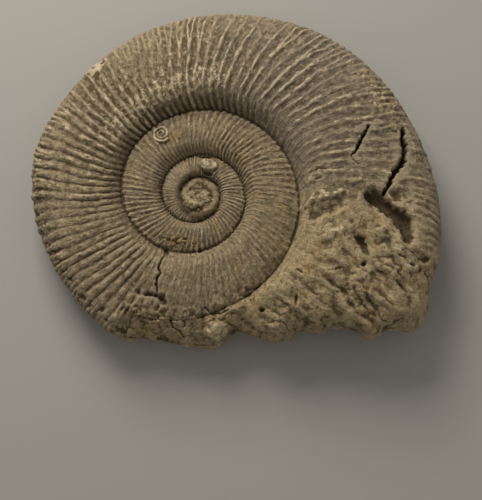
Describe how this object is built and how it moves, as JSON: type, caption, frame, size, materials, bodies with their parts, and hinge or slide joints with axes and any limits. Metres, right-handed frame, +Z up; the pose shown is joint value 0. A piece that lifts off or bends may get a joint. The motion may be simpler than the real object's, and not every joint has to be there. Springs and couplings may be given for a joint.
{
  "type": "fossil ammonite",
  "caption": "Ribbed fossil ammonite lying on its side: coiled whorls round an open umbilicus, the broken mouth end filled with lumpy rock, and worn flats underneath to rest on.",
  "frame": {"origin": "middle of the bounding box's footprint, on the surface that the stone lies on", "axes": "+Z up, square to the coil's plane; +X along the longest way across, from the rim at the left of the picture to the broken mouth end at its right; +Y towards the picture's top"},
  "size_m": [0.1862, 0.156, 0.0369],
  "materials": {
    "fossil_limestone": "dry, matt, fine-grained grey-brown limestone with paler worn rib crests and darker grooves"
  },
  "bodies": {
    "root": {"ammonite": "fossil_limestone"}
  },
  "joints": []
}
